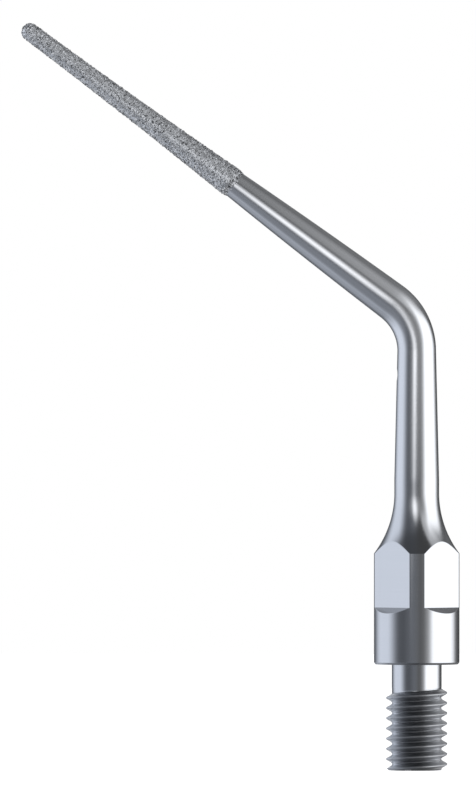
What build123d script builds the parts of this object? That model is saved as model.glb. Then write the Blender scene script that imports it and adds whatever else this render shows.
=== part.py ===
from build123d import *
import math
import os

# A dental scaler tip for a sonic or ultrasonic handpiece: one bar of stainless steel, turned, threaded,
# milled, drilled and bent, whose working end carries diamond grains set in electroplated nickel.
# Millimetres. The origin is where the screw's axis meets the collar's underside, which seats on the
# handpiece. +Z runs up the neck. The arm leans from +Z towards -X.

# Screw shank, below the seat
thread_d = 3.0
thread_pitch = 0.5
thread_angle = 60.0
thread_depth = 0.58 * thread_pitch
thread_crest = thread_pitch / 8
shank_length = 5.2
relief_length = 1.15
relief_clearance = 0.015
screw_chamfer = 0.12
# the cutter's path, in pitches: it starts below the screw's end, ends above the blank, and its
# mouth stands a little proud of the crests
cutter_lead = 0.9
cutter_tail = 0.5
cutter_proud = 0.04
# the ridge starts blunt at the back of the screw: from there a cutter clears all above the last
# groove's lower flank. Turns of the groove's path below the start, turns cleared, and the cutter's
# reach up, in pitches
start_turns = 8.25
start_clear_turns = 0.8
start_reach = 1.0

# Collar with flats for the key
across_flats = 3.45
flat_depth = 0.375
flat_count = 4
flat_foot = 2.8
flat_runout_angle = 37.0
collar_height = 5.45
collar_edge_round = 0.12

# Flare, neck and bend
neck_d = 2.2
neck_straight = 0.64
flare_radius = 4.9
bend_d = 1.9
bend_radius = 3.0
bend_turn = 53.3
elbow_height = 16.9

# Arm, measured along its own axis from the elbow, where it would meet the neck's axis
arm_length = 24.12
arm_belly = 0.03
coated_length = 13.08
core_root_d = 1.352
core_tip_d = 0.736
core_hollow = 0.056

# Coating: a nickel bond and the mean height of the grains that stand out of it
bond_thickness = 0.045
grit_height = 0.035
grit_setback = 0.12

# Coolant channel
bore_d = 0.8
bore_chamfer = 0.08
outlet_d = 0.5
outlet_drop = 1.9
bore_overrun = 0.7

# Sizes that follow
thread_root_d = thread_d - 2 * thread_depth
relief_d = thread_root_d + 2 * relief_clearance
collar_d = across_flats + 2 * flat_depth
collar_step = (collar_d - neck_d) / 2
flare_top = collar_height + math.sqrt(flare_radius**2 - (flare_radius - collar_step) ** 2)
bend_reach = bend_radius * math.tan(math.radians(bend_turn) / 2)
bend_start = elbow_height - bend_reach
coat_edge = arm_length - coated_length
coat_thickness = bond_thickness + grit_height
nose_centre = arm_length - coat_thickness - core_tip_d / 2
outlet_z = bend_start - outlet_drop
bore_top = outlet_z + bore_overrun

arm_direction = Vector(-math.sin(math.radians(bend_turn)), 0, math.cos(math.radians(bend_turn)))
arm_plane = Plane(origin=(0, 0, elbow_height), x_dir=arm_direction, z_dir=(0, -1, 0))
arm_axis = Axis(arm_plane.origin, arm_direction)


def working_end(growth, setback=0):
    """Half outline of the working end on the arm's plane, grown by a layer's thickness all round."""
    start = coat_edge + setback
    # the side is a shallow hollow arc, and a layer's side is the same arc moved out
    share = (start - coat_edge) / (nose_centre - coat_edge)
    chord_r = core_root_d / 2 + share * (core_tip_d - core_root_d) / 2
    start_r = chord_r - 4 * core_hollow * share * (1 - share) + growth
    nose_r = core_tip_d / 2 + growth
    with BuildSketch(arm_plane) as outline:
        with BuildLine():
            edge = Line((start, 0), (start, start_r))
            side = SagittaArc(edge @ 1, (nose_centre, nose_r), -core_hollow * (1 - share) ** 2)
            nose = CenterArc((nose_centre, 0), nose_r, 90, -90)
            Line(nose @ 1, edge @ 0)
        make_face()
    return outline.sketch


with BuildPart() as tip_body:
    # the screw's blank
    with BuildSketch(Plane.XY.offset(-shank_length)):
        Circle(thread_d / 2)
    extrude(amount=shank_length - relief_length)
    chamfer(tip_body.edges().sort_by(Axis.Z)[0], screw_chamfer)
    # its right-hand groove, cut turn by turn from below the screw's end to clear air above the blank
    groove_flare = math.tan(math.radians(thread_angle / 2))
    groove_over = cutter_proud * thread_pitch
    mouth = (thread_pitch - thread_crest) / 2
    root = mouth - thread_depth * groove_flare
    lip = mouth + groove_over * groove_flare
    blank_turns = (shank_length - relief_length) / thread_pitch
    for number in range(math.ceil(blank_turns + cutter_lead + cutter_tail)):
        turn_start = -shank_length + (number - cutter_lead) * thread_pitch
        with BuildLine():
            turn_path = Helix(thread_pitch, thread_pitch, thread_d / 2, center=(0, 0, turn_start))
        with BuildSketch(Plane(origin=turn_path @ 0, x_dir=(1, 0, 0), z_dir=(0, -1, 0))):
            Polygon(
                (-thread_depth, -root),
                (groove_over, -lip),
                (groove_over, lip),
                (-thread_depth, root),
                align=None,
            )
        sweep(path=turn_path, is_frenet=True, mode=Mode.SUBTRACT)
    start_z = -shank_length + (start_turns - cutter_lead) * thread_pitch
    start_path = Helix(
        thread_pitch,
        start_clear_turns * thread_pitch,
        thread_d / 2,
        center=(0, 0, start_z),
        mode=Mode.PRIVATE,
    ).rotate(Axis.Z, start_turns % 1 * 360)
    start_depth = thread_depth - relief_clearance / 2
    start_root = root + (thread_depth - start_depth) * groove_flare
    with BuildSketch(Plane(origin=start_path @ 0, x_dir=(0, 1, 0), z_dir=(1, 0, 0))):
        Polygon(
            (-start_depth, -start_root),
            (groove_over, -lip),
            (groove_over, start_reach * thread_pitch),
            (-start_depth, start_reach * thread_pitch),
            align=None,
        )
    sweep(path=start_path, is_frenet=True, mode=Mode.SUBTRACT)
    # relief, collar, flare and neck in one turning
    with BuildSketch(Plane.XZ):
        with BuildLine():
            foot = Polyline(
                (0, -relief_length),
                (relief_d / 2, -relief_length),
                (relief_d / 2, 0),
                (collar_d / 2 - collar_edge_round, 0),
            )
            corner = CenterArc(
                (collar_d / 2 - collar_edge_round, collar_edge_round), collar_edge_round, -90, 90
            )
            wall = Line(corner @ 1, (collar_d / 2, collar_height))
            flare = RadiusArc(wall @ 1, (neck_d / 2, flare_top), flare_radius)
            Polyline(
                flare @ 1,
                (neck_d / 2, flare_top + neck_straight),
                (bend_d / 2, bend_start),
                (0, bend_start),
                (0, -relief_length),
            )
        make_face()
    revolve(axis=Axis.Z)
    # the key's flats, each ending in a sloped run-out
    runout_reach = 2 * flat_depth
    runout_drop = runout_reach * math.tan(math.radians(flat_runout_angle))
    for number in range(flat_count):
        turn = 360 / flat_count * (number + 0.5)
        with BuildSketch(Plane.XZ.rotated((0, 0, turn))):
            Polygon(
                (across_flats / 2, flat_foot),
                (across_flats / 2 + runout_reach, flat_foot - runout_drop),
                (across_flats / 2 + runout_reach, flare_top),
                (across_flats / 2, flare_top),
                align=None,
            )
        extrude(amount=collar_d, both=True, mode=Mode.SUBTRACT)
    # the bend
    with BuildSketch(Plane.XY.offset(bend_start)):
        Circle(bend_d / 2)
    revolve(axis=Axis((-bend_radius, 0, bend_start), (0, -1, 0)), revolution_arc=bend_turn)
    # the arm's bare stretch, then its coated core
    with BuildSketch(arm_plane):
        with BuildLine():
            butt = Line((bend_reach, 0), (bend_reach, bend_d / 2))
            side = SagittaArc(butt @ 1, (coat_edge, core_root_d / 2), arm_belly)
            Polyline(side @ 1, (coat_edge, 0), butt @ 0)
        make_face()
    revolve(axis=arm_axis)
    add(working_end(0))
    revolve(axis=arm_axis)
    # coolant bore up the screw and neck, and its outlet beside the bend
    with BuildSketch(Plane.XY.offset(-shank_length)):
        Circle(bore_d / 2)
    extrude(amount=shank_length + bore_top, mode=Mode.SUBTRACT)
    mouth_edge = tip_body.edges().filter_by(GeomType.CIRCLE).group_by(Axis.Z)[0].sort_by(SortBy.RADIUS)[0]
    chamfer(mouth_edge, bore_chamfer)
    with BuildSketch(Plane(origin=(0, 0, outlet_z), z_dir=arm_direction)):
        Circle(outlet_d / 2)
    extrude(amount=neck_d, mode=Mode.SUBTRACT)
tip_body.part.label = "tip_body"

with BuildPart() as nickel_bond:
    add(working_end(bond_thickness))
    revolve(axis=arm_axis)
    add(working_end(0))
    revolve(axis=arm_axis, mode=Mode.SUBTRACT)
nickel_bond.part.label = "nickel_bond"

with BuildPart() as diamond_grit:
    add(working_end(coat_thickness, grit_setback))
    revolve(axis=arm_axis)
    add(working_end(bond_thickness))
    revolve(axis=arm_axis, mode=Mode.SUBTRACT)
diamond_grit.part.label = "diamond_grit"

os.makedirs("parts", exist_ok=True)
export_step(tip_body.part, "parts/tip_body.step")
export_step(nickel_bond.part, "parts/nickel_bond.step")
export_step(diamond_grit.part, "parts/diamond_grit.step")
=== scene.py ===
"""A dental scaler tip: a bent bar of polished stainless steel with a threaded shank, a collar with four
key flats and an arm whose working end is coated with diamond grains set in plated nickel.

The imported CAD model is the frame. Every surface here is worked out in millimetres, in the frame's axes,
and scaled to metres once, when its mesh is made."""

import math

import bmesh
import bpy
import numpy as np
from mathutils import Euler, Matrix


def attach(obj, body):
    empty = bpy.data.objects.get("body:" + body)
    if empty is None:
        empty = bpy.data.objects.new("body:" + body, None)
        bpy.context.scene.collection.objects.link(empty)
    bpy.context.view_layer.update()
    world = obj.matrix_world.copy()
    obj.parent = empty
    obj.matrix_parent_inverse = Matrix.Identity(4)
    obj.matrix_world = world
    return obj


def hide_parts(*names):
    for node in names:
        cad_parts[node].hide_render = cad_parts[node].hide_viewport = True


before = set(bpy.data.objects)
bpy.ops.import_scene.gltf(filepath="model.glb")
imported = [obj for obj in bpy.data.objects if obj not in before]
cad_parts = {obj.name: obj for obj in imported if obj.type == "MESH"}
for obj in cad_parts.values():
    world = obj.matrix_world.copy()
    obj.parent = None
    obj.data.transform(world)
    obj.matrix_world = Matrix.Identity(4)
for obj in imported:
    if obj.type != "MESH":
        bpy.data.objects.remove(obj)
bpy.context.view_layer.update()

MM = 0.001
TAU = 2 * math.pi

# Screw shank, below the seat
THREAD_R = 1.5
THREAD_PITCH = 0.5
THREAD_ROOT_R = 1.21
THREAD_TURNS_MADE = np.arange(-1, 10)
FLANK_SLOPE = math.tan(math.radians(30))
ROOT_HALF = 0.046
ROOT_ROUND = 0.08
CREST_HALF = 0.03125
GROOVE_START = -5.65
SHANK_END = -5.2
THREAD_TOP = -1.15
CHAMFER_R = 1.38
START_TURN = 8.25
START_FADE = math.radians(0.9)
CLEARED_R = 1.2175
RELIEF_R = 1.225
COVER_GAP = 0.04
COVER_BLEND = 0.06

# Collar, its four key flats, the flare above it and the neck
COLLAR_R = 2.1
EDGE_CUT = 0.075
EDGE_HEIGHT = 0.1
FLAT_REACH = 1.725
FLAT_FOOT = 2.8
RUNOUT_SLOPE = math.tan(math.radians(37))
FLARE_RADIUS = 4.9
FLARE_TOP = 8.416
NECK_R = 1.1
NECK_CONE_FOOT = 9.056
FLAT_HALF_ANGLE = math.acos(FLAT_REACH / COLLAR_R)
CREASE_ROUND = 0.02

# Bend and arm. The arm is measured from the elbow, where it would meet the neck's axis
BEND_R = 0.95
BEND_RADIUS = 3.0
BEND_TURN = math.radians(53.3)
BEND_START = 15.394
ELBOW = 16.9
ARM_START = 1.506
COAT_EDGE = 11.04
CORE_ROOT_R = 0.676
CORE_TIP_R = 0.368
ARM_BELLY = 0.03
CORE_HOLLOW = 0.056
NOSE_CENTRE = 23.672

# Coolant bore and its outlet
BORE_R = 0.4
BORE_CHAMFER = 0.08
BORE_TOP = 14.194
OUTLET_R = 0.25
OUTLET_Z = 13.494
OUTLET_REACH = 2.2

# Coating: the grains' size and spacing, the depth of the nickel they are bedded in, and where, past the
# coat's edge, the bed starts, how far it takes to reach its depth and how far behind the nickel comes
GRAIN = 0.09
GRAIN_SPACING = 0.088
RING_SPACING = 0.9 * GRAIN_SPACING
BED = 0.057
NOSE_BED = 0.9 * BED
TAPER_START = 0.1
TAPER = 0.36
THIN_OUT = 0.16
NICKEL_BEHIND = 0.1
RAGGED_EDGE = 0.05

# The plating's depth between grains and how much of it is added against them, as shares of the bed, and
# how far it creeps out from a grain, as a share of the grain's size
BARE_BED = 0.72
CREEP_RISE = 0.42
CREEP_SPREAD = 0.42

# How finely the surfaces are divided
BAR_COLUMNS = 156
NECK_ROWS = 44
BEND_ROWS = 40
ARM_ROWS = 28
CORE_ROWS = 18
NOSE_ROWS = 10
DRILL_COLUMNS = 48
NICKEL_COLUMNS = 160
NICKEL_ROWS = 400
NICKEL_NOSE_ROWS = 14
CREEP_ROWS = 4
CREEP_COLUMNS = 7
WELD = 2e-8

ARM_DIRECTION = np.array([-math.sin(BEND_TURN), 0, math.cos(BEND_TURN)])
ARM_OUTWARD = np.array([math.cos(BEND_TURN), 0, math.sin(BEND_TURN)])
ACROSS = np.array([0.0, 1.0, 0.0])


# ---------------------------------------------------------------- meshes

def smaller(a, b, reach):
    """The smaller of two radii, rounded off by a parabola where they come within reach of each other."""
    near = np.maximum(reach - np.abs(a - b), 0) / reach
    return np.minimum(a, b) - near**2 * reach / 4


def larger(a, b, reach):
    """The larger of two radii, rounded off in the same way."""
    return -smaller(-a, -b, reach)


def grid_faces(rows, columns, closed, first=0):
    """The four corners of each cell of a grid whose points are numbered row by row from first; a closed
    grid's last column joins its first."""
    row = np.arange(rows - 1)[:, None] * columns
    column = np.arange(columns if closed else columns - 1)[None, :]
    right = (column + 1) % columns
    corners = np.stack([row + column, row + right, row + columns + right, row + columns + column], -1)
    return corners.reshape(-1, 4) + first


def make_piece(name, points, faces, places=None, weld=1e-9, smooth_below=None):
    """A mesh object from an array of points in millimetres and an array of faces with equal numbers of
    corners. Points that coincide are joined and the faces are turned outwards."""
    mesh = bpy.data.meshes.new(name)
    mesh.vertices.add(len(points))
    mesh.vertices.foreach_set("co", (points * MM).astype(np.float32).ravel())
    corners = faces.shape[1]
    mesh.loops.add(faces.size)
    mesh.loops.foreach_set("vertex_index", faces.astype(np.int32).ravel())
    mesh.polygons.add(len(faces))
    mesh.polygons.foreach_set("loop_start", (np.arange(len(faces)) * corners).astype(np.int32))
    mesh.update(calc_edges=True)
    for place_name, values in (places or {}).items():
        kind = "FLOAT_VECTOR" if values.ndim == 2 else "FLOAT"
        attribute = mesh.attributes.new(place_name, kind, "POINT")
        attribute.data.foreach_set("vector" if values.ndim == 2 else "value",
                                   values.astype(np.float32).ravel())
    solid = bmesh.new()
    solid.from_mesh(mesh)
    if weld:
        bmesh.ops.remove_doubles(solid, verts=solid.verts, dist=weld)
        bmesh.ops.dissolve_degenerate(solid, edges=solid.edges, dist=weld)
    bmesh.ops.recalc_face_normals(solid, faces=solid.faces)
    solid.to_mesh(mesh)
    solid.free()
    if smooth_below is None:
        mesh.shade_flat()
    else:
        mesh.shade_smooth()
        mesh.set_sharp_from_angle(angle=math.radians(smooth_below))
    piece = bpy.data.objects.new(name, mesh)
    bpy.context.scene.collection.objects.link(piece)
    return piece


# ---------------------------------------------------------------- the steel bar

def column_angles():
    """Angles round the bar: evenly spaced, and packed where the flats' edges and the thread's start are."""
    even = np.arange(BAR_COLUMNS) / BAR_COLUMNS * TAU
    edges = (np.arange(4)[:, None] * TAU / 4 + TAU / 8 + np.array([-1, 1]) * FLAT_HALF_ANGLE).ravel()
    edges = (edges[:, None] + np.radians([-1.2, -0.8, -0.4, 0, 0.4, 0.8, 1.2])).ravel() % TAU
    start = TAU / 4 + np.radians([0, 0.45, 0.9])
    packed = np.concatenate([edges, start])
    apart = np.abs((even[:, None] - packed + math.pi) % TAU - math.pi).min(1)
    return np.sort(np.concatenate([even[apart > math.radians(0.9)], packed]))


def thread_radius(angle, height):
    """The shank's radius at an angle and height. One ridge climbs a pitch a turn: with w the distance
    from the groove's middle, the radius is the root, then rises with the 60 degree flank, then is the
    crest. The ridge stops at its start turn, above which the groove's depth is all that is left, and
    the screw's end is chamfered."""
    turns = (height - GROOVE_START) / THREAD_PITCH - angle / TAU
    ridge = np.floor(turns)
    from_groove = THREAD_PITCH * (0.5 - np.abs(turns - ridge - 0.5))
    flank = THREAD_ROOT_R + (from_groove - ROOT_HALF) / FLANK_SLOPE
    radius = smaller(larger(flank, THREAD_ROOT_R, ROOT_ROUND), THREAD_R, CREASE_ROUND)
    past_start = np.clip((ridge + angle / TAU - START_TURN) * TAU / START_FADE, 0, 1)
    stands = 1 - past_start**2 * (3 - 2 * past_start)
    radius = np.where(radius > CLEARED_R, CLEARED_R + (radius - CLEARED_R) * stands, radius)
    return smaller(radius, CHAMFER_R + height - SHANK_END, CREASE_ROUND)


def thread_strip(angles):
    """The threaded surface as one strip that climbs with the thread: each turn of columns goes a pitch
    up, so the strip's upper edge is the next turn's lower edge. Rows are offsets from the groove's
    middle, and heights are held between the shank's end and the relief, where the rows run together."""
    crest = THREAD_PITCH / 2 - CREST_HALF
    half = np.concatenate([
        ROOT_HALF * np.array([0, 0.25, 0.5, 0.8, 1.2, 1.6, 2.0]),
        crest + np.array([-0.012, 0, 0.012, CREST_HALF]),
    ])
    offsets = np.concatenate([half, THREAD_PITCH - half[-2::-1]])
    angle = np.tile(angles, len(THREAD_TURNS_MADE))[:, None]
    turn = np.repeat(THREAD_TURNS_MADE, len(angles))[:, None]
    height = GROOVE_START + THREAD_PITCH * (turn + angle / TAU) + offsets
    height = np.clip(height, SHANK_END, THREAD_TOP)
    angle = angle + np.zeros_like(height)
    radius = thread_radius(angle, height)
    points = np.stack([radius * np.cos(angle), radius * np.sin(angle), height], -1)
    return points, thread_cover(angle, height)


def thread_cover(angle, height):
    """1 where the thread is cut and 0 on the relief above it: the turns climbed, next to the turns at
    which the last ridge's upper flank ends."""
    turns = (height - GROOVE_START) / THREAD_PITCH - angle / TAU
    last = np.floor(START_TURN - angle / TAU) + 1
    return np.clip((last - COVER_GAP - turns) / COVER_BLEND, 0, 1)


def flare_radius(height):
    """Radius of the hollow flare: a circle's arc that meets the neck smoothly at the flare's top. Heights
    far below it, which the collar covers, are held where the arc still has a radius."""
    drop = FLARE_TOP - np.maximum(height, FLARE_TOP - 0.9 * FLARE_RADIUS)
    return NECK_R + FLARE_RADIUS - np.sqrt(FLARE_RADIUS**2 - drop**2)


def collar_radius(angle, height):
    """Radius of the collar and flare with the flats cut: the smallest of the turned collar, the turned
    flare and the distance out to the nearest flat, whose foot runs out on a slope."""
    from_flat = angle % (TAU / 4) - TAU / 8
    reach = FLAT_REACH + np.maximum(FLAT_FOOT - height, 0) / RUNOUT_SLOPE
    turned = np.minimum(COLLAR_R, flare_radius(height))
    return smaller(turned, reach / np.cos(from_flat), CREASE_ROUND)


def between(low, high, near_low, middle, near_high):
    """Rows of heights from one curve round the collar up to another: some close above the low one, some
    evenly across, some close under the high one. Where the curves meet, so do the rows."""
    space = high - low
    widest = max(near_low + near_high)
    scale = np.minimum(1, space / (3 * widest))
    share = np.linspace(0, 1, middle + 2)[1:-1, None]
    first = low + near_low[-1] * scale
    last = high - near_high[0] * scale if near_high else high
    return np.concatenate([
        low + np.array(near_low)[:, None] * scale,
        first + share * (last - first),
        high - np.array(near_high).reshape(-1, 1) * scale,
    ])


def collar_rows(angles):
    """Heights and radii of the rows from just above the seat's edge up to the flare's top. The curves that
    bound the flats are where the flat meets the turned shapes: the run-out's arc on the collar, the
    flat's straight foot, and the crown on the flare."""
    from_flat = angles % (TAU / 4) - TAU / 8
    on_flat = np.abs(from_flat) < FLAT_HALF_ANGLE
    runout = FLAT_FOOT - (COLLAR_R * np.cos(from_flat) - FLAT_REACH) * RUNOUT_SLOPE
    runout = np.where(on_flat, runout, FLAT_FOOT)
    flat_r = np.minimum(FLAT_REACH / np.cos(from_flat), COLLAR_R)
    crown = FLARE_TOP - np.sqrt(FLARE_RADIUS**2 - (NECK_R + FLARE_RADIUS - flat_r) ** 2)
    foot = np.full_like(angles, FLAT_FOOT)
    heights = np.concatenate([
        between(np.full_like(angles, EDGE_HEIGHT + 0.015), runout, [0.02, 0.06], 6, [0.03, 0.015, 0.0075]),
        between(runout, foot, [0, 0.0075, 0.015, 0.03], 3, [0.03, 0.012]),
        between(foot, crown, [0, 0.012, 0.03], 8, [0.045, 0.03, 0.015]),
        between(crown, np.full_like(angles, FLARE_TOP), [0, 0.015, 0.03, 0.045], 26, []),
    ])
    return heights, collar_radius(angles[None, :], heights)


def arc_radius(share, start_r, end_r, bulge):
    """Radius along a shallow arc between two radii, bulging outwards by that much at its middle."""
    return start_r + share * (end_r - start_r) + 4 * bulge * share * (1 - share)


def core_radius(along):
    """Radius of the steel under the coating, hollow between the coat's edge and the round nose."""
    share = (along - COAT_EDGE) / (NOSE_CENTRE - COAT_EDGE)
    side = arc_radius(share, CORE_ROOT_R, CORE_TIP_R, -CORE_HOLLOW)
    nose = np.sqrt(np.maximum(CORE_TIP_R**2 - (along - NOSE_CENTRE) ** 2, 0))
    return np.where(along < NOSE_CENTRE, side, nose)


def bar_surface(angles):
    """The bar from the relief to the nose: circles, and the collar's rows, carried up the neck, round
    the bend's arc and out along the arm. Returns the points; where each lay on the bar before it was
    bent: across, across, along; and 1 on the seat's edge, which is left rougher as it was cut and gets
    painted shade and sheen, and 0 elsewhere."""
    heights, radii = collar_rows(angles)
    ones = np.ones_like(angles)
    # the relief's and the seat's rows, and then those of the cut edge, as shares of its height and depth
    relief_z = [THREAD_TOP, THREAD_TOP, THREAD_TOP + 0.03, -0.6, -0.04, 0]
    seat_r = [RELIEF_R + 0.04, 1.6]
    edge_up = np.array([0, 0.94, 1, 1.03])
    edge_in = np.array([1, 0.05, 0.01, 0])
    foot_z = np.concatenate([relief_z, [0] * len(seat_r), EDGE_HEIGHT * edge_up])
    foot_r = np.concatenate([[RELIEF_R] * len(relief_z), seat_r, COLLAR_R - EDGE_CUT * edge_in])
    edge_row = len(relief_z) + len(seat_r)
    neck_z = np.concatenate([[8.6, 8.83], np.linspace(NECK_CONE_FOOT, BEND_START, NECK_ROWS)])
    neck_share = np.clip((neck_z - NECK_CONE_FOOT) / (BEND_START - NECK_CONE_FOOT), 0, 1)
    neck_r = NECK_R + neck_share * (BEND_R - NECK_R)
    height = np.concatenate([foot_z[:, None] * ones, heights, neck_z[:, None] * ones])
    radius = np.concatenate([foot_r[:, None] * ones, radii, neck_r[:, None] * ones])
    radius[0] = thread_radius(angles, THREAD_TOP * ones)
    as_cut = np.zeros(len(height))
    as_cut[edge_row:edge_row + 3] = 1
    upright = np.stack([radius * np.cos(angles), radius * np.sin(angles), height], -1)

    turn = np.linspace(0, BEND_TURN, BEND_ROWS)[1:-1]
    arm_share = np.linspace(0, 1, ARM_ROWS)
    nose = np.linspace(0, TAU / 4, NOSE_ROWS)[1:]
    along = np.concatenate([
        ARM_START + arm_share * (COAT_EDGE - ARM_START),
        np.linspace(COAT_EDGE, NOSE_CENTRE, CORE_ROWS)[1:],
        NOSE_CENTRE + CORE_TIP_R * np.sin(nose),
    ])
    arm_r = np.concatenate([arc_radius(arm_share, BEND_R, CORE_ROOT_R, ARM_BELLY),
                            core_radius(along[len(arm_share):])])
    arm_r[-1] = 0
    bend_centre = np.array([-BEND_RADIUS, 0, BEND_START])
    bend_out = np.stack([np.cos(turn), 0 * turn, np.sin(turn)], -1)
    elbow = np.array([0, 0, ELBOW])
    centre = np.concatenate([bend_centre + BEND_RADIUS * bend_out, elbow + along[:, None] * ARM_DIRECTION])
    outward = np.concatenate([bend_out, np.tile(ARM_OUTWARD, (len(along), 1))])
    round_r = np.concatenate([np.full(len(turn), BEND_R), arm_r])[:, None, None]
    ring = np.cos(angles)[None, :, None] * outward[:, None] + np.sin(angles)[None, :, None] * ACROSS
    bent = centre[:, None] + round_r * ring
    travelled = np.concatenate([
        BEND_START + BEND_RADIUS * turn,
        BEND_START + BEND_RADIUS * BEND_TURN + along - ARM_START,
    ])
    flat_ring = np.stack([np.cos(angles), np.sin(angles)], -1)[None] * round_r
    straight = np.concatenate([flat_ring, travelled[:, None, None] + 0 * flat_ring[..., :1]], -1)
    as_cut = np.concatenate([as_cut, np.zeros(len(bent))])[:, None] * ones
    return np.concatenate([upright, bent]), np.concatenate([upright, straight]), as_cut


def bore_surface(angles):
    """The screw's end and the coolant bore: rings from the thread's end inwards, over the bore's
    chamfer and up its wall to its closed top."""
    ends = thread_radius(angles, np.full_like(angles, SHANK_END))
    ring_r = np.array([1.1, 0.75, BORE_R + BORE_CHAMFER + 0.03, BORE_R + BORE_CHAMFER, BORE_R,
                       BORE_R, BORE_R, BORE_R, BORE_R, BORE_R, BORE_R, BORE_R, 0.2, 0])
    ring_z = np.array([SHANK_END] * 4 + [SHANK_END + BORE_CHAMFER, -5.0, -2.0, 3.0, 8.0, 13.0,
                                         BORE_TOP - 0.02, BORE_TOP, BORE_TOP, BORE_TOP])
    radius = np.concatenate([ends[None], ring_r[:, None] * np.ones_like(angles)])
    height = np.concatenate([[SHANK_END], ring_z])[:, None] * np.ones_like(angles)
    return np.stack([radius * np.cos(angles), radius * np.sin(angles), height], -1)


def outlet_drill():
    """A closed round bar along the arm's direction from inside the bore out past the neck."""
    angle = np.arange(DRILL_COLUMNS) / DRILL_COLUMNS * TAU
    reach = np.array([0, 0, OUTLET_REACH, OUTLET_REACH])
    radius = np.array([0, OUTLET_R, OUTLET_R, 0])
    ring = np.cos(angle)[None, :, None] * ARM_OUTWARD + np.sin(angle)[None, :, None] * ACROSS
    start = np.array([0, 0, OUTLET_Z])
    points = start + reach[:, None, None] * ARM_DIRECTION + radius[:, None, None] * ring
    return make_piece("outlet_drill", points.reshape(-1, 3), grid_faces(len(reach), DRILL_COLUMNS, True))


def drill_outlet(piece):
    """Takes the outlet drill out of the piece, and leaves the result as the piece's own mesh."""
    drill = outlet_drill()
    cut = piece.modifiers.new("outlet", "BOOLEAN")
    cut.operation = "DIFFERENCE"
    cut.solver = "EXACT"
    cut.object = drill
    seen = piece.evaluated_get(bpy.context.evaluated_depsgraph_get())
    cut_mesh = bpy.data.meshes.new_from_object(seen)
    piece.modifiers.clear()
    old = piece.data
    piece.data = cut_mesh
    bpy.data.meshes.remove(old)
    cut_mesh.name = piece.name
    bpy.data.objects.remove(drill)


def make_steel_bar():
    """The whole bar as one closed surface: the thread's strip, the bar above it and the bore, which share
    their columns, with the outlet drilled out of it."""
    angles = column_angles()
    strip, cover = thread_strip(angles)
    bar, straight, edge_cover = bar_surface(angles)
    bore = bore_surface(angles)
    points = [strip.reshape(-1, 3), bar.reshape(-1, 3), bore.reshape(-1, 3)]
    places = [strip.reshape(-1, 3), straight.reshape(-1, 3), bore.reshape(-1, 3)]
    faces = [
        grid_faces(strip.shape[0], strip.shape[1], False),
        grid_faces(bar.shape[0], bar.shape[1], True, len(points[0])),
        grid_faces(bore.shape[0], bore.shape[1], True, len(points[0]) + len(points[1])),
    ]
    # Where the thread and the seat's edge are: a rougher cut finish, and painted shade and sheen in the
    # steel's colour.
    covers = np.concatenate([cover.ravel(), edge_cover.ravel(), thread_cover(0, bore[..., 2].ravel())])
    piece = make_piece("steel_bar", np.concatenate(points), np.concatenate(faces),
                       {"bar_place": np.concatenate(places), "as_cut": covers}, weld=WELD,
                       smooth_below=32)
    drill_outlet(piece)
    return piece


# ---------------------------------------------------------------- the coating

def on_arm(along, angle, radius):
    """A point at a distance along the arm, an angle round it and a radius out from its axis."""
    ring = np.cos(angle)[..., None] * ARM_OUTWARD + np.sin(angle)[..., None] * ACROSS
    return np.array([0, 0, ELBOW]) + along[..., None] * ARM_DIRECTION + radius[..., None] * ring


def plating_thickness(along):
    """How deep the grains are bedded along the arm: it rises from nothing at the coat's edge as a sine."""
    return BED * np.sin(np.clip((along - COAT_EDGE - TAPER_START) / TAPER, 0, 1) * TAU / 4)


def lay_grains(rng):
    """Where the grains sit: rings a grain apart up the arm, each with as many grains as fit round it, all
    shifted by chance, and over the nose the same on a sphere; near the coat's edge fewer are kept. Returns
    the grains' centres on the nickel's surface, the surface's outward direction there, and each grain's
    size and its place along and round the arm."""
    step = RING_SPACING
    rings = np.arange(COAT_EDGE + TAPER_START, NOSE_CENTRE - step / 2, step)
    around = np.maximum(np.round(TAU * (core_radius(rings) + BED) / GRAIN_SPACING).astype(int), 6)
    ring = np.repeat(np.arange(len(rings)), around)
    place = np.arange(len(ring)) - np.repeat(np.cumsum(around) - around, around)
    along = rings[ring] + rng.uniform(-0.42, 0.42, len(ring)) * step
    angle = (place + 0.5 * (ring % 2) + rng.uniform(-0.36, 0.36, len(ring))) / around[ring] * TAU
    out = core_radius(along) + plating_thickness(along)
    slope = (core_radius(along + 0.01) - core_radius(along - 0.01)) / 0.02
    tilt = -np.arctan(slope)

    nose_r = CORE_TIP_R + BED
    count = int(TAU * nose_r**2 / (GRAIN_SPACING * step))
    k = np.arange(count) + 0.5
    rise = np.arcsin(np.clip(k / count + rng.uniform(-0.01, 0.01, count), 0, 1))
    spin = k * math.radians(137.508) + rng.uniform(-0.1, 0.1, count)
    along = np.concatenate([along, NOSE_CENTRE + nose_r * np.sin(rise)])
    angle = np.concatenate([angle, spin])
    out = np.concatenate([out, nose_r * np.cos(rise)])
    tilt = np.concatenate([tilt, rise])

    centre = on_arm(along, angle, out)
    ring_out = on_arm(0 * along, angle, np.ones_like(along)) - np.array([0, 0, ELBOW])
    normal = np.cos(tilt)[:, None] * ring_out + np.sin(tilt)[:, None] * ARM_DIRECTION
    size = GRAIN * np.clip(rng.normal(1, 0.16, len(along)), 0.6, 1.4)
    kept = rng.uniform(0.35, 1, len(along)) > 1 - (along - COAT_EDGE - TAPER_START + THIN_OUT) / TAPER
    return centre[kept], normal[kept], size[kept], along[kept], angle[kept]


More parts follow.
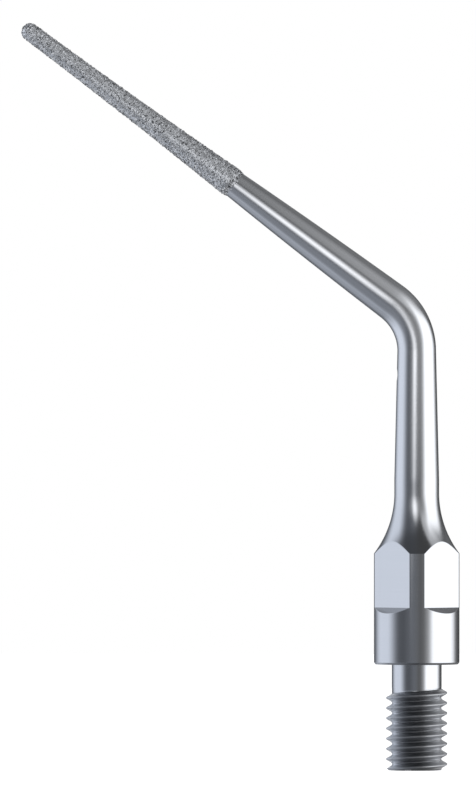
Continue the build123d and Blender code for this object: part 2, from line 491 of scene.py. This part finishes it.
def random_turns(rng, count):
    """Rotation matrices spread evenly over all orientations, from normalised random quaternions."""
    q = rng.normal(size=(count, 4))
    w, x, y, z = (q / np.linalg.norm(q, axis=1, keepdims=True)).T
    return np.stack([
        np.stack([1 - 2 * (y * y + z * z), 2 * (x * y - z * w), 2 * (x * z + y * w)], -1),
        np.stack([2 * (x * y + z * w), 1 - 2 * (x * x + z * z), 2 * (y * z - x * w)], -1),
        np.stack([2 * (x * z - y * w), 2 * (y * z + x * w), 1 - 2 * (x * x + y * y)], -1),
    ], -2)


def crystal_shape():
    """Corners and faces of a cuboctahedron, the blocky habit of a diamond grain: the middles of a cube's
    edges, with a triangle for each of the cube's corners and a square, as two triangles, for each side."""
    signs = [(a, b) for a in (1, -1) for b in (1, -1)]
    corners = [(a, b, 0) for a, b in signs] + [(a, 0, b) for a, b in signs] + [(0, a, b) for a, b in signs]
    number = {c: i for i, c in enumerate(corners)}
    faces = []
    for a in (1, -1):
        for b, c in signs:
            faces.append((number[(a, b, 0)], number[(a, 0, c)], number[(0, b, c)]))
        for square in (
            [(a, 1, 0), (a, 0, 1), (a, -1, 0), (a, 0, -1)],
            [(1, a, 0), (0, a, 1), (-1, a, 0), (0, a, -1)],
            [(1, 0, a), (0, 1, a), (-1, 0, a), (0, -1, a)],
        ):
            p, q, r, s = (number[c] for c in square)
            faces += [(p, q, r), (p, r, s)]
    return np.array(corners) / math.sqrt(2), np.array(faces)


def make_grains(rng, centre, normal, size):
    """Every grain is the crystal chipped, stretched and turned by chance, with its middle sunk a quarter of
    its size, more or less, under the nickel's surface."""
    corners, faces = crystal_shape()
    count = len(centre)
    stretch = rng.uniform(0.78, 1.22, (count, 1, 3))
    chipped = corners[None] * (1 + rng.uniform(-0.14, 0.1, (count, 12, 1)))
    turned = np.einsum("gij,gcj->gci", random_turns(rng, count), chipped * stretch)
    depth = rng.uniform(-0.4, -0.12, count)
    points = centre[:, None] + normal[:, None] * (depth * size)[:, None, None]
    points = points + turned * (size / 2)[:, None, None] * 1.08
    all_faces = (faces[None] + 12 * np.arange(count)[:, None, None]).reshape(-1, 3)
    tone = np.repeat(rng.uniform(0, 1, count), 12)
    return make_piece("diamond_grains", points.reshape(-1, 3), all_faces, {"tone": tone}, weld=None)


def make_nickel(rng, grain_along, grain_angle, grain_size):
    """The nickel round the core: the core's radius plus the plating's thickness, which tapers off at its
    ragged edge, a sum of cosines round the arm, and creeps up round each grain as a sum of bell curves. An
    inner skin on the core closes it."""
    columns = NICKEL_COLUMNS
    angle = np.arange(columns) / columns * TAU
    nose_r = CORE_TIP_R + NOSE_BED
    side = np.linspace(COAT_EDGE, NOSE_CENTRE, NICKEL_ROWS)
    step = side[1] - side[0]
    creep = np.zeros((len(side), columns))
    row = np.rint((grain_along - COAT_EDGE) / step).astype(int)
    col = np.rint(grain_angle / TAU * columns).astype(int)
    here_r = core_radius(np.clip(grain_along, COAT_EDGE, NOSE_CENTRE)) + BED
    for up in range(-CREEP_ROWS, CREEP_ROWS + 1):
        for over in range(-CREEP_COLUMNS, CREEP_COLUMNS + 1):
            rows, cols = row + up, (col + over) % columns
            inside = (rows >= 0) & (rows < len(side))
            away = np.hypot(rows * step + COAT_EDGE - grain_along,
                            ((col + over) / columns * TAU - grain_angle) * here_r)
            bell = np.exp(-((away / (CREEP_SPREAD * grain_size)) ** 2) / 2)
            np.add.at(creep, (rows[inside], cols[inside]), bell[inside])
    creep = creep / (1 + creep)
    ragged = sum(rng.uniform(0.2, 1) / n * np.cos(n * angle + rng.uniform(0, TAU)) for n in range(2, 24))
    ragged = RAGGED_EDGE * ragged / np.abs(ragged).max()
    edge = COAT_EDGE + TAPER_START + NICKEL_BEHIND + ragged
    thick = plating_thickness(side[:, None] - ragged - NICKEL_BEHIND) * (BARE_BED + CREEP_RISE * creep)
    fade = np.clip((NOSE_CENTRE - side) / 0.4, 0, 1)[:, None]
    thick = NOSE_BED + (thick - NOSE_BED) * fade
    thick[0] = 0
    outer_along = np.maximum(side[:, None], edge)
    outer = on_arm(outer_along, angle + 0 * outer_along, core_radius(outer_along) + thick)
    rise = np.linspace(0, TAU / 4, NICKEL_NOSE_ROWS)[1:, None]
    nose = on_arm(NOSE_CENTRE + nose_r * np.sin(rise) + 0 * angle, angle + 0 * rise,
                  nose_r * np.cos(rise) + 0 * angle)
    nose[-1] = nose[-1].mean(0)
    inner_along = np.concatenate([NOSE_CENTRE + CORE_TIP_R * np.sin(np.linspace(TAU / 4, 0, 8)),
                                  np.linspace(NOSE_CENTRE, COAT_EDGE, 16)[1:]])[:, None]
    inner_along = np.maximum(inner_along, edge)
    inner = on_arm(inner_along, angle + 0 * inner_along, core_radius(inner_along))
    inner[0] = inner[0].mean(0)
    skin = np.concatenate([outer, nose])
    points = np.concatenate([skin.reshape(-1, 3), inner.reshape(-1, 3)])
    faces = np.concatenate([
        grid_faces(len(skin), columns, True),
        grid_faces(len(inner), columns, True, skin.shape[0] * columns),
    ])
    # A share for painted shade that darkens the nickel towards the coat's edge.
    rim = np.clip(1 - (side - COAT_EDGE - TAPER_START - TAPER / 2) / TAPER, 0, 1)
    rim = np.concatenate([np.repeat(rim, columns), np.zeros(len(points) - rim.size * columns)])
    return make_piece("nickel_plating", points, faces, {"rim": rim}, weld=WELD, smooth_below=60)


# ---------------------------------------------------------------- finishes

# Steel: its roughness where buffed and where satin, and the heights between which the one turns into the
# other; what its cloudiness and a fresh cut add to that; and the heights over which its colour gets paler,
# a painted brightening of the neck's reflections
BUFFED = 0.13
SATIN = 0.2
SATIN_HEIGHTS = (5.9, 7.6)
CLOUDY = 0.03
CUT_ROUGHER = 0.26
PAINTED_BRIGHTENING_HEIGHTS = (6.5, 9.0)


def new_finish(name):
    """A material with its shader node, and short hands for adding and joining nodes."""
    material = bpy.data.materials.new(name)
    material.use_nodes = True
    nodes, links = material.node_tree.nodes, material.node_tree.links
    shader = nodes["Principled BSDF"]

    def add(kind, settings=None, **values):
        node = nodes.new(kind)
        for key, value in (settings or {}).items():
            setattr(node, key, value)
        for key, value in values.items():
            node.inputs[key.replace("_", " ")].default_value = value
        return node

    return material, shader, add, links.new


def mapped(add, link, source, low, high, socket, from_low=0.0, from_high=1.0):
    """Feeds a socket with a value moved from one range to another."""
    range_node = add("ShaderNodeMapRange", From_Min=from_low, From_Max=from_high, To_Min=low, To_Max=high)
    link(source, range_node.inputs["Value"])
    link(range_node.outputs["Result"], socket)


def steel_finish():
    """Stainless steel: the collar and relief buffed bright, the neck and arm satin, and paler higher up as
    a painted brightening of the neck's reflections; the thread and the seat's edge duller as they were cut,
    their rougher finish real and their darker colour painted shade, darker still nearer the axis in the
    thread's groove as painted shade, and paler at a grazing look as a painted sheen; with faint rings left
    by turning and a cloudy change in its gloss."""
    material, shader, add, link = new_finish("polished_steel")
    shader.inputs["Metallic"].default_value = 1.0
    place = add("ShaderNodeAttribute", {"attribute_name": "bar_place"})
    apart = add("ShaderNodeSeparateXYZ")
    link(place.outputs["Vector"], apart.inputs[0])
    rings = add("ShaderNodeMapping", Scale=(0.25, 0.25, 26.0))
    link(place.outputs["Vector"], rings.inputs["Vector"])
    turning = add("ShaderNodeTexNoise", Scale=1.0, Detail=3.0, Roughness=0.6)
    link(rings.outputs["Vector"], turning.inputs["Vector"])
    cloud = add("ShaderNodeTexNoise", Scale=0.9, Detail=2.0)
    link(place.outputs["Vector"], cloud.inputs["Vector"])
    satin = add("ShaderNodeMath", {"operation": "ADD"})
    mapped(add, link, apart.outputs["Z"], BUFFED, SATIN, satin.inputs[0], *SATIN_HEIGHTS)
    mapped(add, link, cloud.outputs["Fac"], 0.0, CLOUDY, satin.inputs[1], 0.3, 0.7)
    cover = add("ShaderNodeAttribute", {"attribute_name": "as_cut"})
    grazing = add("ShaderNodeLayerWeight", Blend=0.5)
    dull = add("ShaderNodeMath", {"operation": "MULTIPLY_ADD"})
    link(cover.outputs["Fac"], dull.inputs[0])
    dull.inputs[1].default_value = CUT_ROUGHER
    link(satin.outputs[0], dull.inputs[2])
    link(dull.outputs[0], shader.inputs["Roughness"])
    # The steel's colour varies at random with the turning rings, which is real tone, and gets paler higher
    # up, which is a painted brightening of the neck's reflections.
    tint = add("ShaderNodeMix", {"data_type": "RGBA"})
    tint.inputs["A"].default_value = (0.60, 0.605, 0.62, 1)
    tint.inputs["B"].default_value = (0.74, 0.745, 0.76, 1)
    shade = add("ShaderNodeMath", {"operation": "ADD"})
    mapped(add, link, turning.outputs["Fac"], 0.2, 0.5, shade.inputs[0])
    mapped(add, link, apart.outputs["Z"], 0.0, 0.4, shade.inputs[1], *PAINTED_BRIGHTENING_HEIGHTS)
    link(shade.outputs[0], tint.inputs["Factor"])
    across = add("ShaderNodeCombineXYZ")
    link(apart.outputs["X"], across.inputs["X"])
    link(apart.outputs["Y"], across.inputs["Y"])
    from_axis = add("ShaderNodeVectorMath", {"operation": "LENGTH"})
    link(across.outputs[0], from_axis.inputs[0])
    # Painted shade: nearer the axis, in the thread's groove, on the screw's end and in the bore, the cut
    # steel's colour is darker.
    groove = add("ShaderNodeMix", {"data_type": "RGBA"})
    groove.inputs["A"].default_value = (0.19, 0.193, 0.2, 1)
    groove.inputs["B"].default_value = (0.39, 0.395, 0.405, 1)
    mapped(add, link, from_axis.outputs["Value"], 0.0, 1.0, groove.inputs["Factor"], THREAD_ROOT_R + 0.1,
           THREAD_R - 0.02)
    # Painted sheen: the cut steel's colour goes nearly white at a grazing look.
    pale = add("ShaderNodeMix", {"data_type": "RGBA"})
    link(groove.outputs["Result"], pale.inputs["A"])
    pale.inputs["B"].default_value = (0.95, 0.96, 0.98, 1)
    mapped(add, link, grazing.outputs["Facing"], 0.0, 1.0, pale.inputs["Factor"], 0.4, 0.72)
    # Where the thread and the seat's edge are, the painted shade and sheen take the place of the steel's
    # colour.
    as_cut = add("ShaderNodeMix", {"data_type": "RGBA"})
    link(pale.outputs["Result"], as_cut.inputs["B"])
    link(tint.outputs["Result"], as_cut.inputs["A"])
    link(cover.outputs["Fac"], as_cut.inputs["Factor"])
    link(as_cut.outputs["Result"], shader.inputs["Base Color"])
    marks = add("ShaderNodeBump", Strength=0.015, Distance=0.00002)
    link(turning.outputs["Fac"], marks.inputs["Height"])
    link(marks.outputs["Normal"], shader.inputs["Normal"])
    return material


def nickel_finish():
    """Plated nickel: satin, with the fine pimples that plating grows, and darker towards its edge as
    painted shade.
    """
    material, shader, add, link = new_finish("plated_nickel")
    shader.inputs["Metallic"].default_value = 0.85
    rim = add("ShaderNodeAttribute", {"attribute_name": "rim"})
    tint = add("ShaderNodeMix", {"data_type": "RGBA"})
    tint.inputs["A"].default_value = (0.78, 0.79, 0.805, 1)
    tint.inputs["B"].default_value = (0.6, 0.605, 0.615, 1)
    link(rim.outputs["Fac"], tint.inputs["Factor"])
    link(tint.outputs["Result"], shader.inputs["Base Color"])
    where = add("ShaderNodeTexCoord")
    pimples = add("ShaderNodeTexNoise", Scale=40000.0, Detail=2.0)
    link(where.outputs["Object"], pimples.inputs["Vector"])
    mapped(add, link, pimples.outputs["Fac"], 0.3, 0.42, shader.inputs["Roughness"], 0.3, 0.7)
    bump = add("ShaderNodeBump", Strength=0.25, Distance=0.000006)
    link(pimples.outputs["Fac"], bump.inputs["Height"])
    link(bump.outputs["Normal"], shader.inputs["Normal"])
    return material


def diamond_finish():
    """Diamond grain: hard glossy facets, each grain its own grey, from smoky to clear."""
    material, shader, add, link = new_finish("diamond_grain")
    shader.inputs["IOR"].default_value = 2.42
    shader.inputs["Roughness"].default_value = 0.3
    shader.inputs["Specular IOR Level"].default_value = 0.25
    tone = add("ShaderNodeAttribute", {"attribute_name": "tone"})
    greys = add("ShaderNodeValToRGB")
    ramp = greys.color_ramp
    ramp.elements[0].position = 0.0
    ramp.elements[0].color = (0.03, 0.031, 0.033, 1)
    ramp.elements[1].position = 1.0
    ramp.elements[1].color = (0.76, 0.765, 0.78, 1)
    middle = ramp.elements.new(0.55)
    middle.color = (0.35, 0.352, 0.36, 1)
    link(tone.outputs["Fac"], greys.inputs["Fac"])
    link(greys.outputs["Color"], shader.inputs["Base Color"])
    return material


# ---------------------------------------------------------------- studio

# The middle and height of what the camera sees, the world's plain level and the floor's own brightness
CENTRE = np.array([-8.777, 0.0, 12.98])
VIEW_HEIGHT = 39.29
VIEW_SHAPE = 476 / 800
PLAIN_LEVEL = 0.08
FLOOR_LIFT = 1.05
FLOOR_HALF = 300.0
FLOOR_GAP = 0.02


def make_camera():
    """A long lens straight in front of the tip, level, so that the view is nearly without perspective."""
    lens = bpy.data.cameras.new("camera")
    lens.lens = 400
    lens.sensor_fit = "VERTICAL"
    lens.sensor_height = 24
    lens.sensor_width = lens.sensor_height * VIEW_SHAPE
    lens.clip_start = 0.01
    lens.clip_end = 20
    camera = bpy.data.objects.new("camera", lens)
    distance = lens.lens / lens.sensor_height * VIEW_HEIGHT
    camera.location = (CENTRE + np.array([0, -distance, 0])) * MM
    camera.rotation_euler = (math.radians(90), 0, 0)
    bpy.context.scene.collection.objects.link(camera)
    bpy.context.scene.camera = camera


def facing(turn, lift):
    """The direction a turn to the right of the front and a lift above level, both in degrees."""
    a, e = math.radians(turn), math.radians(lift)
    return np.array([math.sin(a) * math.cos(e), -math.cos(a) * math.cos(e), math.sin(e)])


def make_panel(name, turn, lift, distance, width, height, colour, level, aim, roll=0):
    """A soft panel that faces the aim from a turn to the right of the front and a lift above level, rolled
    on its own face, all in degrees. Its level is how bright its face is, where 1 is white."""
    lamp = bpy.data.lights.new(name, "AREA")
    lamp.shape = "RECTANGLE"
    lamp.size = width * MM
    lamp.size_y = height * MM
    lamp.color = colour
    lamp.energy = level * math.pi * lamp.size * lamp.size_y
    panel = bpy.data.objects.new(name, lamp)
    panel.location = (np.array(aim) + facing(turn, lift) * distance) * MM
    upright = Euler((math.radians(90 - lift), 0, math.radians(turn))).to_matrix()
    panel.rotation_euler = (upright @ Matrix.Rotation(math.radians(roll), 3, "Z")).to_euler()
    panel.visible_camera = False
    bpy.context.scene.collection.objects.link(panel)
    return panel


def soften(panel, plateaus):
    """Lets a panel's face fade smoothly to nothing from its plateau, a share of its half size across and
    up, out to its four edges."""
    lamp = panel.data
    lamp.use_nodes = True
    nodes, links = lamp.node_tree.nodes, lamp.node_tree.links
    face = nodes.new("ShaderNodeNewGeometry")
    apart = nodes.new("ShaderNodeSeparateXYZ")
    links.new(face.outputs["Parametric"], apart.inputs[0])
    fades = []
    for place, plateau in zip(apart.outputs[:2], plateaus):
        off_centre = nodes.new("ShaderNodeMath")
        off_centre.operation = "MULTIPLY_ADD"
        links.new(place, off_centre.inputs[0])
        off_centre.inputs[1].default_value = 2.0
        off_centre.inputs[2].default_value = -1.0
        away = nodes.new("ShaderNodeMath")
        away.operation = "ABSOLUTE"
        links.new(off_centre.outputs[0], away.inputs[0])
        fade = nodes.new("ShaderNodeMapRange")
        fade.interpolation_type = "SMOOTHSTEP"
        fade.inputs["From Min"].default_value = 1.0
        fade.inputs["From Max"].default_value = plateau
        links.new(away.outputs[0], fade.inputs["Value"])
        fades.append(fade.outputs["Result"])
    both = nodes.new("ShaderNodeMath")
    both.operation = "MULTIPLY"
    links.new(fades[0], both.inputs[0])
    links.new(fades[1], both.inputs[1])
    links.new(both.outputs[0], nodes["Emission"].inputs["Strength"])


def make_floor():
    """A pale floor just under the screw's end. To the eye it is lifted to the white behind it and keeps the
    tip's shadow; the steel mirrors the room instead."""
    side = np.linspace(-FLOOR_HALF, FLOOR_HALF, 9)
    x, y = np.meshgrid(side, side)
    z = np.full_like(x, SHANK_END - FLOOR_GAP)
    points = np.stack([x, y, z], -1).reshape(-1, 3)
    floor = make_piece("floor", points, grid_faces(len(side), len(side), False))
    material, shader, add, link = new_finish("pale_floor")
    shader.inputs["Base Color"].default_value = (0.9, 0.9, 0.9, 1)
    shader.inputs["Roughness"].default_value = 0.8
    shader.inputs["Specular IOR Level"].default_value = 0.0
    shader.inputs["Emission Color"].default_value = (1, 1, 1, 1)
    path = add("ShaderNodeLightPath")
    mapped(add, link, path.outputs["Is Camera Ray"], 0.0, FLOOR_LIFT, shader.inputs["Emission Strength"])
    floor.data.materials.append(material)
    floor.visible_glossy = False
    return floor


# What the steel mirrors of the studio: its level by the turn to the right of the front, from the pale
# panel on the left, over the dark camera side, to the bright softbox on the right and the dim wall behind;
# and the share of it that is left by the lift above level, on either side. All angles are in degrees
STUDIO_BY_TURN = {-180: 0.03, -162: 0.06, -150: 0.12, -142: 0.28, -134: 0.5, -126: 0.72, -116: 0.87,
                  -84: 0.86, -76: 0.69, -71: 0.55, -66: 0.38, -60: 0.22, -55: 0.12, -48: 0.06, -36: 0.05,
                  -26: 0.08, -12: 0.115, 0: 0.11, 8: 0.07, 14: 0.09, 20: 0.15, 26: 0.25, 32: 0.48,
                  37: 0.85, 42: 1.4, 46: 1.54, 104: 1.54, 116: 1.05, 126: 0.3, 138: 0.05, 180: 0.03}
LEFT_BY_LIFT = {-90: 0.05, -66: 0.15, -56: 0.35, -44: 0.47, -36: 0.75, -26: 1.0, 0: 1.0, 30: 0.97,
                36: 0.85, 40: 0.66, 44: 0.48, 49: 0.2, 56: 0.1, 90: 0.06}
RIGHT_BY_LIFT = {-90: 0.1, -50: 0.15, -30: 0.4, -12: 1.0, 0: 1.0, 24: 1.0, 29: 0.9, 33: 0.62,
                 37: 0.36, 41: 0.2, 46: 0.07, 52: 0.0, 90: 0.0}
# The softbox's own turn, from which the right side's lift is taken, the level under everything, the turn
# about which the right side narrows as it lifts, and by how much for each radian of lift
SOFTBOX_TURN = 62
DARKEST = 0.07
NARROWS_ABOUT = math.radians(100)
NARROWS_BY = 0.5
SIDES_MEET = 0.25
# Faint glows: turn and lift of each one's middle, the cosines of the angles from it at which it starts and
# at which it is full, and its level
GLOWS = ((-50, -40, 0.8, 0.97, 0.16), (-150, 43, 0.9, 0.98, 0.2), (150, 34, 0.86, 0.98, 0.11))
# The dim arch over the right side: its level; the way its band is square to; the cosines from that way at
# which the band starts and is full on either side; the lifts over which it rises; and the turns over
# which it comes in and goes out
CEILING = 0.5
CEILING_EDGE = (-0.8018, 0.0, 0.5976)
ARCH_NEAR = (-0.34, -0.2)
ARCH_FAR = (0.1, 0.02)
ARCH_RISES = (14, 28)
ARCH_COMES_IN = (9, 27)
ARCH_GOES_OUT = (160, 50)
# The white that is mirrored straight behind: how far aside of its middle it ends and is full, how much
# less than that with the steepness, and how steep it ends and is full
WHITE_ASIDE = (0.08, 0.02)
WHITE_NARROWS = 0.45
WHITE_STEEP = (0.66, 0.54)
LEFT_TINT = (0.93, 1.0, 1.13, 1)
RIGHT_TINT = (0.98, 1.0, 1.03, 1)
BRIGHTEST = max(STUDIO_BY_TURN.values())


def make_world():
    """White behind everything for the eye and in the steel's mirror straight behind the tip; a plain level
    for the light it gives; and the room's levels for what the steel mirrors in other directions."""
    world = bpy.data.worlds.new("studio")
    bpy.context.scene.world = world
    world.use_nodes = True
    nodes, links = world.node_tree.nodes, world.node_tree.links
    nodes.clear()

    def worked(operation, *values):
        node = nodes.new("ShaderNodeMath")
        node.operation = operation
        for socket, value in zip(node.inputs, values):
            if isinstance(value, (int, float)):
                socket.default_value = value
            else:
                links.new(value, socket)
        return node.outputs[0]

    def levels(degrees, stops, reach):
        ramp = nodes.new("ShaderNodeValToRGB")
        elements = ramp.color_ramp.elements
        elements.remove(elements[1])
        for number, (angle, level) in enumerate(stops.items()):
            place = (angle + reach) / (2 * reach)
            stop = elements[0] if number == 0 else elements.new(place)
            stop.position = place
            stop.color = (level / BRIGHTEST,) * 3 + (1,)
        turned = nodes.new("ShaderNodeMapRange")
        turned.inputs["From Min"].default_value = -math.radians(reach)
        turned.inputs["From Max"].default_value = math.radians(reach)
        links.new(degrees, turned.inputs["Value"])
        links.new(turned.outputs["Result"], ramp.inputs["Fac"])
        return worked("MULTIPLY", ramp.outputs["Color"], BRIGHTEST)

    def smooth(value, low, high, top=1.0):
        node = nodes.new("ShaderNodeMapRange")
        node.interpolation_type = "SMOOTHSTEP"
        links.new(value, node.inputs["Value"])
        node.inputs["From Min"].default_value = low
        node.inputs["From Max"].default_value = high
        node.inputs["To Max"].default_value = top
        return node.outputs["Result"]

    def in_radians(degrees):
        return [math.radians(angle) for angle in degrees]

    def along(way):
        node = nodes.new("ShaderNodeVectorMath")
        node.operation = "DOT_PRODUCT"
        links.new(direction, node.inputs[0])
        node.inputs[1].default_value = way
        return node.outputs["Value"]

    def mixed(kind, factor, low, high):
        node = nodes.new("ShaderNodeMix")
        node.data_type = kind
        for socket, value in zip(("Factor", "A", "B"), (factor, low, high)):
            if isinstance(value, (float, tuple)):
                node.inputs[socket].default_value = value
            else:
                links.new(value, node.inputs[socket])
        return node.outputs["Result"]

    direction = nodes.new("ShaderNodeTexCoord").outputs["Generated"]
    apart = nodes.new("ShaderNodeSeparateXYZ")
    links.new(direction, apart.inputs[0])
    x, y, z = apart.outputs
    left_lift = worked("ARCSINE", z)
    turn = worked("ARCTAN2", x, worked("MULTIPLY", y, -1.0))
    narrowing = worked("MULTIPLY_ADD", worked("MAXIMUM", left_lift, 0.0), NARROWS_BY, 1.0)
    narrowed = worked("MULTIPLY_ADD", worked("SUBTRACT", turn, NARROWS_ABOUT), narrowing, NARROWS_ABOUT)
    leaning = mixed("FLOAT", smooth(x, 0.0, 0.1), turn, narrowed)
    to_right = smooth(x, -SIDES_MEET, SIDES_MEET)
    right_lift = worked("ARCTAN2", z, worked("MAXIMUM", along(facing(SOFTBOX_TURN, 0)), 0.02))
    left_share = levels(left_lift, LEFT_BY_LIFT, 90)
    right_share = levels(right_lift, RIGHT_BY_LIFT, 90)
    share = mixed("FLOAT", to_right, left_share, right_share)
    level = worked("MULTIPLY_ADD", levels(leaning, STUDIO_BY_TURN, 180), share, DARKEST)
    for glow_turn, glow_lift, starts, full, glow in GLOWS:
        level = worked("ADD", level, smooth(along(facing(glow_turn, glow_lift)), starts, full, glow))
    off_arch = along(CEILING_EDGE)
    arch = worked("MULTIPLY", smooth(off_arch, *ARCH_NEAR), smooth(off_arch, *ARCH_FAR, CEILING))
    arch = worked("MULTIPLY", arch, smooth(left_lift, *in_radians(ARCH_RISES)))
    comes_in = smooth(turn, *in_radians(ARCH_COMES_IN))
    goes_out = smooth(turn, *in_radians(ARCH_GOES_OUT))
    level = worked("MULTIPLY_ADD", arch, worked("MULTIPLY", comes_in, goes_out), level)

    path = nodes.new("ShaderNodeLightPath")
    glossy = path.outputs["Is Glossy Ray"]
    steep = worked("ABSOLUTE", z)
    aside = worked("SUBTRACT", worked("ABSOLUTE", x), worked("MULTIPLY", steep, WHITE_NARROWS))
    behind = worked("MULTIPLY", smooth(aside, *WHITE_ASIDE), smooth(steep, *WHITE_STEEP))
    behind = worked("MULTIPLY", behind, smooth(y, 0.0, 0.1))
    seen = worked("MAXIMUM", path.outputs["Is Camera Ray"], path.outputs["Is Transmission Ray"])
    shown_white = worked("MAXIMUM", seen, worked("MULTIPLY", glossy, behind))
    strength = mixed("FLOAT", shown_white, mixed("FLOAT", glossy, PLAIN_LEVEL, level), 1.0)
    tint = mixed("RGBA", to_right, LEFT_TINT, RIGHT_TINT)
    tinted = worked("MULTIPLY", glossy, worked("SUBTRACT", 1.0, behind))
    background = nodes.new("ShaderNodeBackground")
    links.new(mixed("RGBA", tinted, (1.0, 1.0, 1.0, 1.0), tint), background.inputs["Color"])
    links.new(strength, background.inputs["Strength"])
    out = nodes.new("ShaderNodeOutputWorld")
    links.new(background.outputs[0], out.inputs["Surface"])


rng = np.random.default_rng(41)
steel_bar = make_steel_bar()
steel_bar.data.materials.clear()
steel_bar.data.materials.append(steel_finish())
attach(steel_bar, "root")
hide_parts("tip_body")

grain_centre, grain_normal, grain_size, grain_along, grain_angle = lay_grains(rng)
nickel = make_nickel(rng, grain_along, grain_angle, grain_size)
nickel.data.materials.append(nickel_finish())
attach(nickel, "root")
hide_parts("nickel_bond")

grains = make_grains(rng, grain_centre, grain_normal, grain_size)
grains.data.materials.append(diamond_finish())
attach(grains, "root")
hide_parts("diamond_grit")

make_camera()
make_floor()
make_world()
# These three light the grains, the nickel and the floor; the steel's mirror has the world's levels instead
for softbox in (
    make_panel("right_softbox", turn=75.5, lift=14, distance=150, width=280, height=137,
               colour=(1, 1, 1), level=0.15, aim=(-2, 0, 8)),
    make_panel("left_panel", turn=-80, lift=-6, distance=150, width=270, height=200,
               colour=(0.94, 0.97, 1.0), level=0.28, aim=(-2, 0, 10)),
    make_panel("front_fill", turn=-12, lift=-8, distance=150, width=160, height=160,
               colour=(0.92, 0.95, 1.0), level=3.9, aim=(-6, 0, 14)),
):
    softbox.visible_glossy = False
# These two are near enough to show as the bright lines up the neck and along the arm
front_light = make_panel("front_light", turn=0, lift=0, distance=45, width=90, height=21,
                         colour=(0.97, 0.98, 1.0), level=0.27, aim=(-8, 0, 20))
soften(front_light, (0.0, 0.3))
arm_light = make_panel("arm_light", turn=0, lift=0, distance=46, width=23, height=42,
                       colour=(0.97, 0.98, 1.0), level=1.3, aim=(-8.4, 0, 21.4), roll=-36.7)
soften(arm_light, (0.3, 0.0))

bpy.context.scene.view_settings.view_transform = "Standard"
